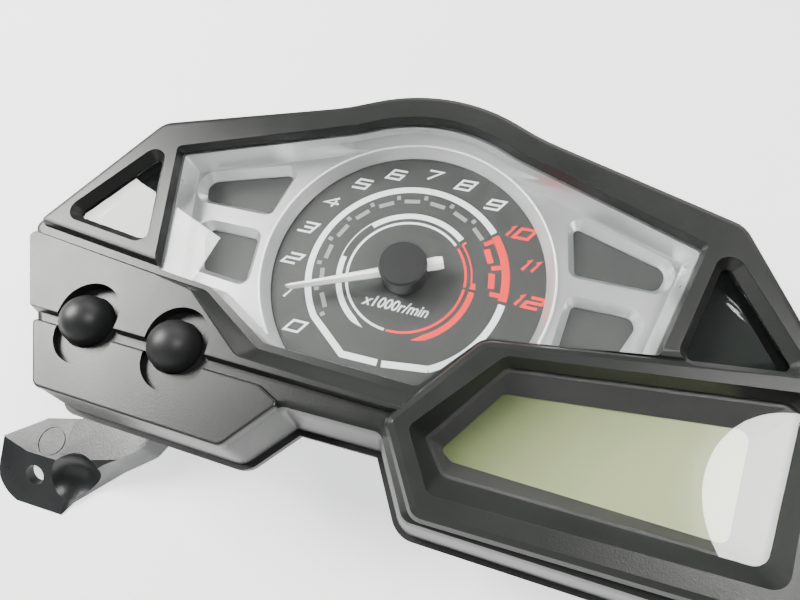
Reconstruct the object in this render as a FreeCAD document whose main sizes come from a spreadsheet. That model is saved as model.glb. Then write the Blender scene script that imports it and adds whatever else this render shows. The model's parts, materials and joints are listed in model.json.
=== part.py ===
# Motorcycle instrument cluster, lying on its back: +X right, +Y up the face, +Z out of the face.
# The origin is where the pointer's axis meets the flat back of the rear case.  Millimetres.
import FreeCAD, Part
import math
import os
from FreeCAD import Placement, Rotation, Vector

doc = FreeCAD.newDocument("InstrumentCluster")
sheet = doc.addObject("Spreadsheet::Sheet", "Sizes")

driving = [
    ("HalfWidth", 104, "centre line to each side tip of the cover"),
    ("DialRadius", 37.6, "radius of the dial inside the silver ring"),
    ("DialLevel", 42, "dial face above the back"),
    ("RimRise", 14, "rim of the cover above the dial"),
    ("LensRise", 11, "top of the lens above the dial"),
    ("LensThick", 1.6, "thickness of the lens"),
    ("PlateRise", 14.6, "button plate above the dial"),
    ("LowPlateRise", 12.8, "lower plate above the dial"),
    ("FrameRise", 15.4, "crest of the display frame above the dial"),
    ("DeckRise", 11.4, "floor of the grooves between plates, above the dial"),
    ("SkirtFlare", 1.8, "how far the skirt leans out at its foot"),
    ("EdgeLip", 1.6, "cover's wall outside the corners of its face"),
    ("Wall", 2.2, "wall of the cover and the rear case"),
    ("SplitDrop", 4.6, "foot of the skirt below the dial"),
    ("GasketThick", 1.2, "seal between cover and rear case"),
    ("FlangeThick", 2.5, "flange round the rear case"),
    ("FlangeLip", 1.4, "how far the flange stands out past the skirt"),
    ("TrayLevel", 22, "underside of the rear case's wide tray"),
    ("BoardThick", 1.6, "circuit board"),
    ("BoardDrop", 13.4, "top of the circuit board below the dial"),
    ("DialThick", 0.6, "dial plate"),
    ("GuideThick", 3, "light guide under the dial"),
    ("GlassRise", 4.95, "top of the display glass above the dial"),
    ("GlassThick", 2.1, "display glass"),
    ("BacklightThick", 3.8, "light plate behind the display glass"),
    ("ChipThick", 1.6, "controller chip"),
    ("CapacitorTall", 8, "height of a capacitor"),
    ("CapacitorRadius", 3, "radius of a capacitor"),
    ("BezelRise", 3, "flat of the silver bezel above the dial"),
    ("RingRise", 3.4, "crest of the silver ring above the dial"),
    ("RingWide", 2.2, "dial edge to the crest of the ring"),
    ("ButtonRadius", 6.7, "rubber button dome"),
    ("ButtonTravel", 1, "how far a button goes in"),
    ("ButtonGap", 0.35, "clearance round a button"),
    ("ButtonWall", 1.5, "rubber of a button"),
    ("SwitchTall", 3.4, "height of a button's switch"),
    ("SwitchHalf", 3.1, "half the side of a button's switch"),
    ("PlungerRadius", 1.75, "plunger of a button's switch"),
    ("RodRadius", 2.2, "rod between a button and its switch"),
    ("VentRadius", 6, "cap over the vent"),
    ("VentTall", 3, "height of the vent's cap"),
    ("PostRadius", 2.6, "screw post of the cover"),
    ("ScrewRadius", 1.4, "thread of a case screw"),
    ("ShaftRadius", 0.75, "pointer shaft"),
    ("HubRadius", 6.5, "cap on the pointer's hub"),
    ("PointerReach", 32, "axis to the pointer's tip"),
    ("GearModule", 0.35, "module of the pointer drive's gears"),
    ("WheelTeeth", 48, "teeth of each large gear"),
    ("PinionTeeth", 12, "teeth of each pinion"),
    ("StayHole", 3.3, "radius of the hole in each stay's ear"),
    ("StayTop", 14, "top of each stay's arm above the back"),
    ("EarTop", 10, "level top of the arm at its ear"),
    ("EarThick", 3, "thickness of the ear round its hole"),
    ("StayWall", 2, "wall of a stay's hollow arm"),
]
for line, (alias, value, note) in enumerate(driving, 1):
    sheet.set("A%d" % line, note)
    sheet.set("B%d" % line, str(value))
    sheet.setAlias("B%d" % line, alias)
doc.recompute()


def size(alias):
    return float(getattr(sheet, alias))


# Levels above the back, worked out from the sheet.
dialLevel = size("DialLevel")
rimTop = dialLevel + size("RimRise")
lensTop = dialLevel + size("LensRise")
lensFoot = lensTop - size("LensThick")
plateTop = dialLevel + size("PlateRise")
lowPlateTop = dialLevel + size("LowPlateRise")
frameTop = dialLevel + size("FrameRise")
deckTop = dialLevel + size("DeckRise")
deckFoot = deckTop - size("Wall")
skirtFoot = dialLevel - size("SplitDrop")
caseTop = skirtFoot - size("GasketThick")
boardTop = dialLevel - size("BoardDrop")
boardFoot = boardTop - size("BoardThick")
trayLevel = size("TrayLevel")
trayFloor = trayLevel + size("Wall")
halfWidth = size("HalfWidth")
dialRadius = size("DialRadius")
wall = size("Wall")
crestRadius = dialRadius + size("RingWide")
seat = 0.05  # gap between parts that sit against each other


# ---- outlines: (x, y, corner radius), counter-clockwise ----

def turnAt(corners, i):
    (ax, ay), (bx, by), (cx, cy) = (corners[j % len(corners)][:2] for j in (i - 1, i, i + 1))
    return math.atan2((bx - ax) * (cy - by) - (by - ay) * (cx - bx),
                      (bx - ax) * (cx - bx) + (by - ay) * (cy - by))


def grow(corners, amount):
    """The outline moved outwards by amount, or inwards where it is negative."""
    moved = []
    for i, (x, y, radius) in enumerate(corners):
        ax, ay = corners[i - 1][:2]
        cx, cy = corners[(i + 1) % len(corners)][:2]
        inward = math.atan2(y - ay, x - ax)
        outward = math.atan2(cy - y, cx - x)
        turn = turnAt(corners, i)
        reach = amount / math.cos(turn / 2)
        middle = inward + turn / 2 - math.pi / 2
        sign = 1 if turn > 0 else -1
        kept = max(radius + sign * amount, 0.3) if radius > 0 else 0
        moved.append((x + reach * math.cos(middle), y + reach * math.sin(middle), kept))
    return moved


def mirrored(corners):
    return [(-x, y, radius) for x, y, radius in reversed(corners)]


def curves(corners, level=0.0):
    """Straight runs and tangent arcs round the outline."""
    count = len(corners)
    starts, ends, middles = [], [], []
    lengths = [math.dist(corners[i][:2], corners[(i + 1) % count][:2]) for i in range(count)]
    wanted = [corners[i][2] * math.tan(abs(turnAt(corners, i)) / 2) for i in range(count)]
    pairs = [max(wanted[i] + wanted[(i + 1) % count], 1e-9) for i in range(count)]
    room = [min(1.0, 0.97 * lengths[i] / pairs[i]) for i in range(count)]
    for i, (x, y, radius) in enumerate(corners):
        ax, ay = corners[i - 1][:2]
        cx, cy = corners[(i + 1) % count][:2]
        before, after = lengths[i - 1], lengths[i]
        turn = abs(turnAt(corners, i))
        cut = wanted[i] * min(room[i - 1], room[i])
        fit = cut / math.tan(turn / 2) if turn > 1e-6 else 0
        start = Vector(x + (ax - x) * cut / before, y + (ay - y) * cut / before, level)
        end = Vector(x + (cx - x) * cut / after, y + (cy - y) * cut / after, level)
        toMiddle = (start + end) * 0.5 - Vector(x, y, level)
        if toMiddle.Length > 1e-9:
            bow = fit / math.cos(turn / 2) - fit
            toMiddle = toMiddle.normalize() * bow
        starts.append(start)
        ends.append(end)
        middles.append(Vector(x, y, level) + toMiddle)
    found = []
    for i in range(count):
        if (starts[i] - ends[i]).Length > 1e-4:
            found.append(Part.Arc(starts[i], middles[i], ends[i]))
        following = starts[(i + 1) % count]
        if (following - ends[i]).Length > 1e-4:
            found.append(Part.LineSegment(ends[i], following))
    return found


def wireOf(corners, level):
    return Part.Wire([curve.toShape() for curve in curves(corners, level)])


def loft(*sections):
    """A solid through outlines at rising levels: (corners, level), ..."""
    return Part.makeLoft([wireOf(corners, level) for corners, level in sections], True, True)


def prism(corners, low, high):
    return Part.Face(wireOf(corners, low)).extrude(Vector(0, 0, high - low))


def tube(radius, low, high, x=0.0, y=0.0):
    return Part.makeCylinder(radius, high - low, Vector(x, y, low))


def box(x0, x1, y0, y1, z0, z1):
    return Part.makeBox(x1 - x0, y1 - y0, z1 - z0, Vector(x0, y0, z0))


def rectangle(x0, x1, y0, y1, radius=0.0):
    return [(x0, y0, radius), (x1, y0, radius), (x1, y1, radius), (x0, y1, radius)]


tipY = -12.5
shoulder = (halfWidth - 24.5, 25.8)
lowY = -57.0
notchY = -44.5
displayLow = -61.5

arch = [
    (shoulder[0], shoulder[1], 6),
    (27.7, dialRadius + 3.7, 60),
    (0, dialRadius + 16.6, 46.7),
    (-27.7, dialRadius + 3.7, 60),
    (-shoulder[0], shoulder[1], 6),
]
lip = size("EdgeLip")
face = [
    (-halfWidth, tipY, 3),
    (-shoulder[0], lowY + 2, 3),
    (-28, lowY, 3),
    (-17.5, notchY, 3),
    (7, notchY, 2),
    (17, displayLow, 4),
    (halfWidth - 5, displayLow, 6),
    (halfWidth, tipY, 3),
] + arch
coverEdge = [(-halfWidth - lip, tipY, 3), (-shoulder[0] - lip, lowY + 1.6, 3)]
coverEdge += face[2:6] + grow(face, lip)[6:]

openX = halfWidth - 32
dialOpening = [
    (-halfWidth + 41, -17.9, 1),
    (-46.5, -19.6, 5),
    (-27.3, -30.6, 5),
    (13, -31.8, 2.5),
    (25.4, -16.4, 5),
    (openX - 7.5, -11.4, 1.5),
    (openX, 19, 1.5),
    (22, dialRadius - 1.1, 40),
    (0, dialRadius + 9.7, 42),
    (-22, dialRadius - 1.1, 40),
    (-openX, 19, 1.5),
]
rimFoot = [
    (-halfWidth + 0.8, tipY + 0.1, 1.5),
    (-halfWidth + 42.5, -17.0, 0),
    (openX - 8, -12.2, 0),
    (halfWidth - 3.2, -7.4, 0),
] + grow(coverEdge, -0.6)[8:]
sideWindow = [
    (-halfWidth + 7, -9.2, 3.5),
    (-halfWidth + 36.7, -12.6, 3.5),
    (-halfWidth + 28.2, 21.5, 3.5),
]
plateFoot = [
    (-halfWidth - 0.4, tipY - 1.8, 2),
    (-halfWidth + 12.4, -36.7, 1),
    (14, -39.1, 0),
    (14, -31.7, 0),
    (-27.3, -30.6, 5),
    (-46.5, -19.6, 5),
    (-halfWidth + 42.5, -18.7, 0),
]
plateCrest = [
    (-halfWidth + 1.2, tipY - 2.9, 1.5),
    (-halfWidth + 13.0, -36.1, 1),
    (14, -38.5, 0),
    (14, -37.6, 0),
    (-31.5, -35.4, 5),
    (-49.6, -21.9, 5),
    (-halfWidth + 42.5, -19.9, 0),
]
lowPlateEdge = [
    (-halfWidth + 13.6, -38.6, 1),
    (-shoulder[0] - lip + 0.1, lowY + 1.7, 3),
    (-28.1, lowY + 0.1, 3),
    (-17.4, -43.5, 1.5),
    (-24, -40.4, 2),
]
displayFrame = [
    (7.4, -41, 3),
    (19.2, displayLow + 1.2, 4),
    (halfWidth - 6.2, displayLow + 1.2, 5),
    (halfWidth - 1.2, tipY, 2.5),
    (halfWidth - 4.2, -7.0, 2),
    (25.2, -17, 6),
]
displayCrest = [
    (13.9, -41.4, 1.5),
    (21.7, displayLow + 7.2, 3),
    (halfWidth - 11.2, displayLow + 7.9, 4),
    (halfWidth - 6.7, -12.9, 3),
    (31.3, -20.2, 3),
]
displayFoot = [
    (17.6, -42.2, 1.2),
    (23.4, displayLow + 11.9, 2.5),
    (halfWidth - 13.5, displayLow + 11.5, 3.5),
    (halfWidth - 8.5, -14.4, 2.5),
    (32.2, -21.4, 2.5),
]
displayGlassEdge = [
    (21.4, -43.2, 1.2),
    (24.4, displayLow + 16.2, 2),
    (halfWidth - 19.1, displayLow + 14.6, 2.5),
    (halfWidth - 16.4, -21.2, 2.5),
    (32.7, -26.6, 2.5),
]
buttonSpots = {"mode": (-halfWidth + 28.9, -35.9), "set": (-halfWidth + 54.9, -36.6)}
postSpots = [
    (-halfWidth + 7.8, tipY - 5.0),
    (-shoulder[0] + 2.2, shoulder[1] - 3.8),
    (0, dialRadius + 8.75),
    (shoulder[0] - 2.2, shoulder[1] - 3.8),
    (halfWidth - 5.4, -30),
    (halfWidth - 9.0, displayLow + 5.5),
    (22, displayLow + 4.2),
    (-30, lowY + 4.5),
    (-shoulder[0] + 2.0, lowY + 6.5),
]
lensEdge = [
    (-halfWidth + 6.4, tipY + 3.2, 2),
    (-halfWidth + 38, -16.2, 1),
    (-halfWidth + 40, -20.6, 1),
    (-48.4, -22.6, 4),
    (-28.6, -33.8, 4),
    (6, -35.2, 3),
    (15.6, displayLow + 18, 3),
    (21.6, displayLow + 9.6, 3),
    (halfWidth - 11.6, displayLow + 9.2, 3),
    (halfWidth - 6.4, tipY, 2),
    (shoulder[0] - 6.5, 21.5, 4),
    (25, dialRadius + 0.6, 40),
    (0, dialRadius + 12.0, 44),
    (-25, dialRadius + 0.6, 40),
    (-shoulder[0] + 6.5, 21.5, 4),
]

parts = {}


def feature(name, shape):
    """A sub-part whose shape is made here from the sheet's sizes."""
    piece = doc.addObject("Part::Feature", name)
    piece.Shape = shape
    return named(piece, name)


def padded(name, profiles, base, depth):
    """A body padded from closed profiles; base and depth are expressions on the sheet."""
    body = doc.addObject("PartDesign::Body", name)
    plane = [item for item in body.Origin.OriginFeatures if item.Role == "XY_Plane"][0]
    sketch = body.newObject("Sketcher::SketchObject", name + "_profile")
    sketch.AttachmentSupport = (plane, [""])
    sketch.MapMode = "FlatFace"
    for profile in profiles:
        sketch.addGeometry(profile, False)
    pad = body.newObject("PartDesign::Pad", name + "_pad")
    pad.Profile = sketch
    pad.setExpression("Length", depth)
    body.setExpression("Placement.Base.z", base)
    return body


def sketchPad(name, profiles, base, depth):
    """A sub-part that is one pad."""
    return named(padded(name, profiles, base, depth), name)


def circle(radius, x=0.0, y=0.0):
    return [Part.Circle(Vector(x, y, 0), Vector(0, 0, 1), radius)]


def named(piece, name):
    piece.Label = name
    parts[name] = piece
    return piece


def cylinder(name, radius, height, base, x=0.0, y=0.0):
    """An upright cylinder; radius, height and base are expressions on the sheet."""
    piece = doc.addObject("Part::Cylinder", name)
    piece.Placement.Base = Vector(x, y, 0)
    for quantity, expression in (("Radius", radius), ("Height", height), ("Placement.Base.z", base)):
        piece.setExpression(quantity, expression)
    return piece


def block(name, half, height, base, x, y, deep=None):
    """A block centred on (x, y); half, deep (half its depth), height and base are expressions."""
    piece = doc.addObject("Part::Box", name)
    for quantity, expression in (
            ("Length", "2 * (%s)" % half), ("Width", "2 * (%s)" % (deep or half)), ("Height", height),
            ("Placement.Base.x", "%.3f - (%s)" % (x, half)),
            ("Placement.Base.y", "%.3f - (%s)" % (y, deep or half)), ("Placement.Base.z", base)):
        piece.setExpression(quantity, expression)
    return piece


def cutAway(name, body, tool):
    piece = doc.addObject("Part::Cut", name)
    piece.Base, piece.Tool = body, tool
    return piece


def group(name, pieces):
    """Identical loose pieces in one node."""
    piece = doc.addObject("Part::Compound", name)
    piece.Links = pieces
    return piece


def revolved(name, outline, x, y):
    """A sub-part turned about its own upright axis from an outline of (radius, level)."""
    body = doc.addObject("PartDesign::Body", name)
    plane = [item for item in body.Origin.OriginFeatures if item.Role == "XZ_Plane"][0]
    sketch = body.newObject("Sketcher::SketchObject", name + "_half")
    sketch.AttachmentSupport = (plane, [""])
    sketch.MapMode = "FlatFace"
    for curve in outline:
        sketch.addGeometry(curve, False)
    turn = body.newObject("PartDesign::Revolution", name + "_turn")
    turn.Profile = sketch
    turn.ReferenceAxis = (sketch, ["V_Axis"])
    turn.Angle = 360
    body.Placement.Base = Vector(x, y, 0)
    return named(body, name)


def runs(*points):
    """Straight edges of a sketch through (x, y) points."""
    corners = [Vector(x, y, 0) for x, y in points]
    return [Part.LineSegment(start, end) for start, end in zip(corners, corners[1:])]


def edged(foot, crest, low, high, rounding):
    """A raised plate: walls from foot to crest, with its top edge rounded off."""
    bend = high - rounding
    half = rounding * 0.29
    return loft((foot, low), (crest, bend), (grow(crest, -half), high - half), (grow(crest, -rounding), high))


def slot(x, y, high, radius, low, top):
    """An upright oval cut for a button."""
    middle = box(x - radius, x + radius, y - high, y + high, low, top)
    return middle.fuse([tube(radius, low, top, x, y - high), tube(radius, low, top, x, y + high)])


def frontCover():
    rounding = 2.4
    deck = loft((grow(coverEdge, size("SkirtFlare")), skirtFoot),
                (coverEdge, deckTop - rounding),
                (grow(coverEdge, -0.7), deckTop - 0.7),
                (grow(coverEdge, -rounding), deckTop))
    rim = loft((rimFoot, deckTop - rounding), (rimFoot, rimTop - rounding),
               (grow(rimFoot, -0.32), rimTop - 1.25),
               (grow(rimFoot, -0.95), rimTop - 0.45), (grow(rimFoot, -rounding), rimTop))
    plate = edged(plateFoot, plateCrest, deckTop - 1, plateTop, 0.35)
    lowPlate = edged(lowPlateEdge, lowPlateEdge, deckTop - rounding, lowPlateTop, 0.9)
    frame = loft((displayFrame, deckTop - 1), (displayFrame, frameTop - 2.2),
                 (grow(displayFrame, -0.8), frameTop - 0.9), (grow(displayFrame, -2.2), frameTop))
    shell = deck.fuse([rim, plate, lowPlate, frame])
    reach = frameTop + 1
    cuts = [
        loft((grow(coverEdge, size("SkirtFlare") - wall), skirtFoot - 1), (grow(coverEdge, -wall), deckFoot)),
        prism(grow(lensEdge, 0.3), deckFoot - 1, lensTop + seat),
        loft((grow(dialOpening, -0.8), lensTop - 1), (dialOpening, rimTop), (grow(dialOpening, 0.4), reach)),
        loft((displayFoot, lensTop - 1), (displayFoot, lensTop + seat), (displayCrest, frameTop - 0.2),
             (grow(displayCrest, 0.6), reach)),
    ]
    for window in (sideWindow, mirrored(sideWindow)):
        cuts.append(loft((grow(window, -2.2), lensTop - 1), (grow(window, -2.0), lensTop + 0.4),
                         (window, rimTop - 0.2), (grow(window, 0.5), reach)))
    hole = size("ButtonRadius") + size("ButtonGap")
    for x, y in buttonSpots.values():
        cuts.append(tube(hole, deckFoot - 1, reach, x, y))
        cuts.append(slot(x + 1.3, y - 0.9, 2.3, hole + 1.4, deckTop - 0.4, reach))
    shell = shell.cut(cuts)
    posts = [tube(size("PostRadius"), caseTop + seat, deckFoot + 0.1, x, y) for x, y in postSpots]
    bores = [tube(size("ScrewRadius") + seat, caseTop, caseTop + 10, x, y) for x, y in postSpots]
    return shell.fuse(posts).cut(bores).removeSplitter()


def silverBezel():
    outer = grow(dialOpening, 1.1)
    flat = dialLevel + size("BezelRise")
    plate = prism(outer, dialLevel + seat, lensFoot - seat)
    plate = plate.cut(loft((grow(dialOpening, -2.6), flat), (grow(dialOpening, -0.4), lensFoot + 1)))
    crest = dialLevel + size("RingRise")
    ring = [Vector(0, 0, crest + 4), Vector(0, 0, dialLevel - 1), Vector(dialRadius, 0, dialLevel - 1),
            Vector(dialRadius, 0, dialLevel + 0.35), Vector(crestRadius, 0, crest),
            Vector(crestRadius + 4, 0, crest + 4), Vector(0, 0, crest + 4)]
    bowl = Part.Face(Part.makePolygon(ring)).revolve(Vector(0, 0, 0), Vector(0, 0, 1), 360)
    shoulderRing = tube(crestRadius + 0.5, dialLevel + 1, crest).cut(tube(dialRadius, dialLevel, crest + 1))
    shoulderRing = shoulderRing.common(prism(grow(dialOpening, 0.5), dialLevel, lensFoot))
    plate = plate.fuse(shoulderRing).cut(bowl)
    cuts = []
    for corners in (upperPocket, lowerPocket):
        for pocket in (corners, mirrored(corners)):
            cuts.append(loft((grow(pocket, -2.0), dialLevel - 1), (grow(pocket, -1.9), dialLevel + 0.4),
                             (grow(pocket, -0.5), flat - 0.7), (pocket, flat), (grow(pocket, 1), flat + 1)))
    return plate.cut(cuts)


upperPocket = [
    (-42.0, 8.1, 3),
    (-38.3, 26.8, 3.2),
    (-openX + 3.0, 17.3, 5),
    (-openX + 6.2, 8.1, 4.5),
]
lowerPocket = [
    (-40.9, -14.4, 3),
    (-42.6, 3.2, 3.2),
    (-openX + 7.6, 3.2, 4.5),
    (-openX + 14.2, -13.0, 3.5),
]

feature("front_cover", frontCover())
sketchPad("clear_lens", [curves(lensEdge)], "Sizes.DialLevel + Sizes.LensRise - Sizes.LensThick",
          "Sizes.LensThick")
feature("silver_bezel", silverBezel())


# ---- dial, light box and circuit board ----

boardEdge = grow(coverEdge, -5.4)
shaftHole = size("ShaftRadius") + 0.85
guideRadius = dialRadius - 2.4
ledSize = 3.2
boardScrewHole = 1.3
boardScrewSpots = [(-29, dialRadius - 8.1), (29, dialRadius - 8.1), (-52, 5.6), (52, 5.6), (-33, -22)]


def lightBox():
    top = dialLevel - size("DialThick") - seat
    frame = prism(grow(dialOpening, -0.6), boardTop + seat, top)
    ledge = 3.0
    inside = prism(grow(dialOpening, -2.4), boardTop - 1, top + 1)
    cuts = [tube(guideRadius + 0.2, top - ledge - 0.1, top + 1), tube(guideRadius - ledge, boardTop, top)]
    cuts = [cut.common(inside) for cut in cuts]
    for corners in (upperPocket, lowerPocket):
        for pocket in (corners, mirrored(corners)):
            cuts.append(prism(grow(pocket, -2.5), boardTop, top + 1))
    cuts += [tube(1.15, boardTop, boardTop + 9, x, y) for x, y in boardScrewSpots]
    return frame.cut(cuts)


def leds(name, spots):
    """Surface-mounted LEDs on top of the board."""
    return named(group(name, [
        block("%s_%d" % (name, k), str(ledSize / 2), "1.8", "Sizes.DialLevel - Sizes.BoardDrop", x, y,
              str(ledSize / 2.4)) for k, (x, y) in enumerate(spots, 1)]), name)


def machineScrew(x, y, headLow, headRadius, headTall, shank, tip):
    """A pan-head screw driven upwards, with a cross slot in its head."""
    head = tube(headRadius, headLow, headLow + headTall, x, y)
    slotWide, slotDeep = headRadius * 0.24, headTall * 0.5
    cross = [box(x - headRadius * 0.6, x + headRadius * 0.6, y - slotWide / 2, y + slotWide / 2,
                 headLow - 1, headLow + slotDeep),
             box(x - slotWide / 2, x + slotWide / 2, y - headRadius * 0.6, y + headRadius * 0.6,
                 headLow - 1, headLow + slotDeep)]
    return head.cut(cross).fuse(tube(shank, headLow + headTall, tip, x, y))


sketchPad("dial_face", [curves(grow(dialOpening, 0.9)), circle(shaftHole)],
          "Sizes.DialLevel - Sizes.DialThick", "Sizes.DialThick")
guideTop = dialLevel - size("DialThick") - seat
guide = tube(guideRadius, guideTop - size("GuideThick"), guideTop)
feature("light_guide", guide.common(prism(grow(dialOpening, -2.6), 0, dialLevel)).cut(
    tube(shaftHole + 1.5, 0, dialLevel)))
feature("light_box", lightBox())
underBoard = "Sizes.DialLevel - Sizes.BoardDrop - Sizes.BoardThick"
boardBlank = padded("board_blank", [curves(boardEdge)], underBoard, "Sizes.BoardThick")
boardDrills = [("Sizes.PostRadius + 0.6", spot) for spot in postSpots]
boardDrills += [(str(boardScrewHole), spot) for spot in boardScrewSpots]
boardDrills.append(("Sizes.ShaftRadius + 1.25", (0, 0)))
drilled = doc.addObject("Part::MultiFuse", "board_drills")
drilled.Shapes = [cylinder("board_drill_%d" % k, radius, "Sizes.BoardThick + 2", underBoard + " - 1", *spot)
                  for k, (radius, spot) in enumerate(boardDrills, 1)]
named(cutAway("circuit_board", boardBlank, drilled), "circuit_board")
dialLeds = [(24 * math.cos(math.radians(a)), 24 * math.sin(math.radians(a))) for a in range(0, 360, 45)]
leds("dial_leds", dialLeds)
telltaleSpots = [(-53, 14.5), (53, 14.5), (-51, -5.5), (51, -4.0)]
leds("telltale_leds", telltaleSpots)
feature("board_screws", Part.makeCompound(
    [machineScrew(x, y, boardFoot - 1.6, 2.3, 1.6, 1.1, boardTop + 8) for x, y in boardScrewSpots]))
chip = block("controller_chip", "7", "Sizes.ChipThick", underBoard + " - Sizes.ChipThick", 37, -11)
named(chip, "controller_chip")
cans = [cylinder("capacitor_%d" % k, "Sizes.CapacitorRadius", "Sizes.CapacitorTall",
                 underBoard + " - Sizes.CapacitorTall", 22 + 8 * k, 12) for k in (1, 2, 3)]
named(group("capacitors", cans), "capacitors")

# ---- pointer drive: rotor pinion, idler, and the wheel on the pointer's shaft ----

module = size("GearModule")
wheelTeeth = int(size("WheelTeeth"))
pinionTeeth = int(size("PinionTeeth"))
wheelRadius = module * wheelTeeth / 2
centreDistance = module * (wheelTeeth + pinionTeeth) / 2
idlerSpot = (0, -centreDistance)
rotorTurn = math.radians(-42)
rotorSpot = (centreDistance * math.cos(rotorTurn), idlerSpot[1] + centreDistance * math.sin(rotorTurn))
motorTop = boardFoot - 0.05
motorSplit = motorTop - 5.4
motorLow = motorTop - 10.9
motorWall = 1.2
motorX = (-wheelRadius - 2.6, rotorSpot[0] + 7.2)
motorY = (rotorSpot[1] - 7.2, wheelRadius + 2.6)
wheelLow = motorTop - 3.7
idlerWheelLow = motorTop - 6.1
gearThick = 1.3
journal = 0.6
running = 0.05


def gear(teeth, low, high, turn, x=0.0, y=0.0):
    """Straight-sided teeth with backlash; turn is the angle of one tooth's middle, in degrees."""
    root = module * teeth / 2 - 1.1 * module
    tip = module * teeth / 2 + 0.75 * module
    step = 2 * math.pi / teeth
    points = []
    for k in range(teeth):
        middle = math.radians(turn) + k * step
        for reach, share in ((root, -0.29), (tip, -0.12), (tip, 0.12), (root, 0.29)):
            angle = middle + share * step
            points.append(Vector(x + reach * math.cos(angle), y + reach * math.sin(angle), low))
    points.append(points[0])
    return Part.Face(Part.makePolygon(points)).extrude(Vector(0, 0, high - low))


def motorShell(low, high, floorLow, floorHigh):
    shell = prism(rectangle(*motorX, *motorY, 3), low, high)
    inner = rectangle(motorX[0] + motorWall, motorX[1] - motorWall, motorY[0] + motorWall,
                      motorY[1] - motorWall, 2)
    hollow = prism(inner, low - 1, high + 1).cut(prism(grow(inner, 1), floorLow, floorHigh))
    bores = [tube(size("ShaftRadius") + running, low - 1, high + 1)]
    bores += [tube(journal + running, low - 1, high + 1, *spot) for spot in (idlerSpot, rotorSpot)]
    return shell.cut([hollow] + bores)


pointerTurn = 202.7
hubLow = dialLevel + 1.0
bladeLow = dialLevel + 4.4
bladeTop = dialLevel + 6.0
capTop = dialLevel + 8.5
shaftTop = bladeTop + 0.4


def turned(shape, degrees):
    shape.rotate(Vector(0, 0, 0), Vector(0, 0, 1), degrees)
    return shape


def pointerBlade():
    reach = size("PointerReach")
    foot = [(-10.6, -1.7, 0), (-9.0, -1.9, 0), (4, -1.5, 0), (reach - 1.2, -0.75, 0), (reach, 0, 0),
            (reach - 1.2, 0.75, 0), (4, 1.5, 0), (-9.0, 1.9, 0), (-10.6, 1.7, 0)]
    ridge = [(x, y * 0.35, 0) for x, y, radius in foot]
    blade = loft((foot, bladeLow), (foot, bladeLow + 0.5), (ridge, bladeTop))
    hub = tube(3.6, hubLow, bladeTop)
    return turned(blade.fuse(hub).cut(tube(size("ShaftRadius"), hubLow - 1, shaftTop)), pointerTurn)


def pointerCap():
    radius = size("HubRadius")
    low = dialLevel + 2.2
    cap = tube(radius, low, capTop)
    cap = cap.makeChamfer(0.5, [edge for edge in cap.Edges if edge.BoundBox.ZMin > capTop - 0.1])
    hollow = tube(3.65, low - 1, bladeTop + 0.6)
    passage = box(-radius - 1, radius + 1, -2.1, 2.1, low - 1, bladeTop + 0.1)
    return turned(cap.cut([hollow, passage]), pointerTurn)


wheel = gear(wheelTeeth, wheelLow, wheelLow + gearThick, -90 + 180 / wheelTeeth)
feature("output_gear", wheel.fuse(tube(size("ShaftRadius"), motorLow + 0.2, shaftTop)))
idler = gear(wheelTeeth, idlerWheelLow, idlerWheelLow + gearThick, math.degrees(rotorTurn), *idlerSpot)
idlerPinion = gear(pinionTeeth, idlerWheelLow + gearThick, wheelLow + gearThick + 0.3, 90, *idlerSpot)
feature("idler_gear", idler.fuse([idlerPinion, tube(journal, motorLow + 0.3, motorTop - 0.3, *idlerSpot)]))
rotorPinion = gear(pinionTeeth, idlerWheelLow - 0.6, idlerWheelLow + gearThick + 0.3,
                   math.degrees(rotorTurn) + 180 + 180 / pinionTeeth, *rotorSpot)
magnet = tube(3.4, motorLow + 1.6, idlerWheelLow - 0.6, *rotorSpot)
feature("rotor", magnet.fuse([rotorPinion, tube(journal, motorLow + 0.3, motorTop - 0.3, *rotorSpot)]))
feature("motor_front_case", motorShell(motorSplit, motorTop, motorTop - motorWall, motorTop + 1))
feature("motor_rear_case", motorShell(motorLow, motorSplit, motorLow - 1, motorLow + motorWall))
statorLevel = motorLow + 2.6
statorLeft = rotorSpot[0] - 15.5
statorHalf = 4.9
stator = box(statorLeft, rotorSpot[0] + statorHalf, rotorSpot[1] - statorHalf, rotorSpot[1] + statorHalf,
             statorLevel, statorLevel + 1)
windows = [tube(3.8, statorLevel - 1, statorLevel + 2, *rotorSpot),
           tube(journal + 0.3, statorLevel - 1, statorLevel + 2, *idlerSpot),
           box(statorLeft + 1.5, rotorSpot[0] - 4.6, rotorSpot[1] - 2.4, rotorSpot[1] + 2.4,
               statorLevel - 1, statorLevel + 2)]
feature("stator", stator.cut(windows))


def coil(side):
    """Wire wound round one arm of the stator."""
    middle = rotorSpot[1] + side * 3.65
    low, high = statorLevel - 0.9, statorLevel + 1.5
    x0, x1 = statorLeft + 2.2, rotorSpot[0] - 5.2
    body = box(x0, x1, middle - 1.9, middle + 1.9, low, high)
    return body.cut(box(x0 - 1, x1 + 1, middle - 1.26, middle + 1.26, statorLevel - 0.01, statorLevel + 1.01))


feature("motor_coils", Part.makeCompound([coil(1), coil(-1)]))
feature("pointer", pointerBlade())
feature("pointer_cap", pointerCap())

# ---- display ----

glassTop = dialLevel + size("GlassRise")
glassThick = size("GlassThick")
backThick = size("BacklightThick")
glassOut = grow(displayGlassEdge, 2.5)


def displayHolder():
    body = prism(grow(displayFoot, 1.4), boardTop + seat, lensFoot - seat)
    lowest = glassTop - glassThick - backThick - 0.1
    cuts = [loft((displayGlassEdge, glassTop - 0.01), (displayGlassEdge, glassTop + 0.4),
                 (grow(displayFoot, -0.6), lensFoot + 0.2)),
            prism(grow(displayGlassEdge, 2.6), lowest, glassTop + seat),
            prism(grow(displayGlassEdge, 2.6), boardTop, lowest)]
    return body.cut(cuts)


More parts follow.
